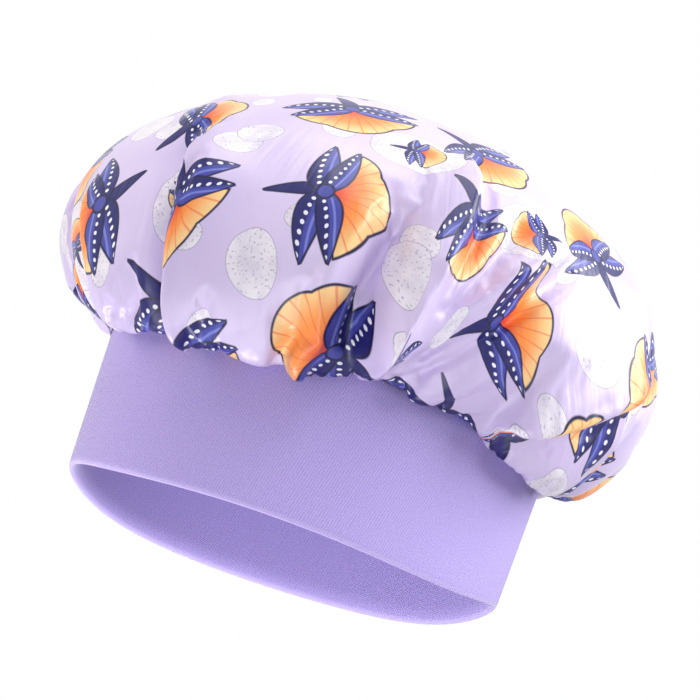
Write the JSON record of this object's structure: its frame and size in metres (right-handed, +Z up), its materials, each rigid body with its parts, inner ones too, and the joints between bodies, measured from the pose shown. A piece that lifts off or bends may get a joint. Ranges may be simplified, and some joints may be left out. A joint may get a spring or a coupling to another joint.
{
  "type": "hair bonnet",
  "caption": "Soft hair bonnet: a puffed printed satin crown with a plain lining, gathered into a wide, smooth stretch band that is folded double at the rim.",
  "frame": {"origin": "centre of the opening, in the plane that the rim rests on", "axes": "+Z up from the rim to the crown, +X towards the nape and -X towards the forehead, Y across the ears"},
  "size_m": [0.2598, 0.2165, 0.192],
  "materials": {
    "knit": "lavender stretch knit with a fine slanting rib, matt with a faint sheen",
    "elastic_web": "off-white woven elastic webbing, matt",
    "overlock": "raw cloth edges bound by lavender overlock thread",
    "satin_print": null,
    "satin_plain": "plain lavender satin lining"
  },
  "bodies": {
    "root": {"band_cover": "knit", "band_elastic": "elastic_web", "seam_allowance": "overlock", "crown_satin": "satin_print", "crown_lining": "satin_plain"}
  },
  "joints": []
}
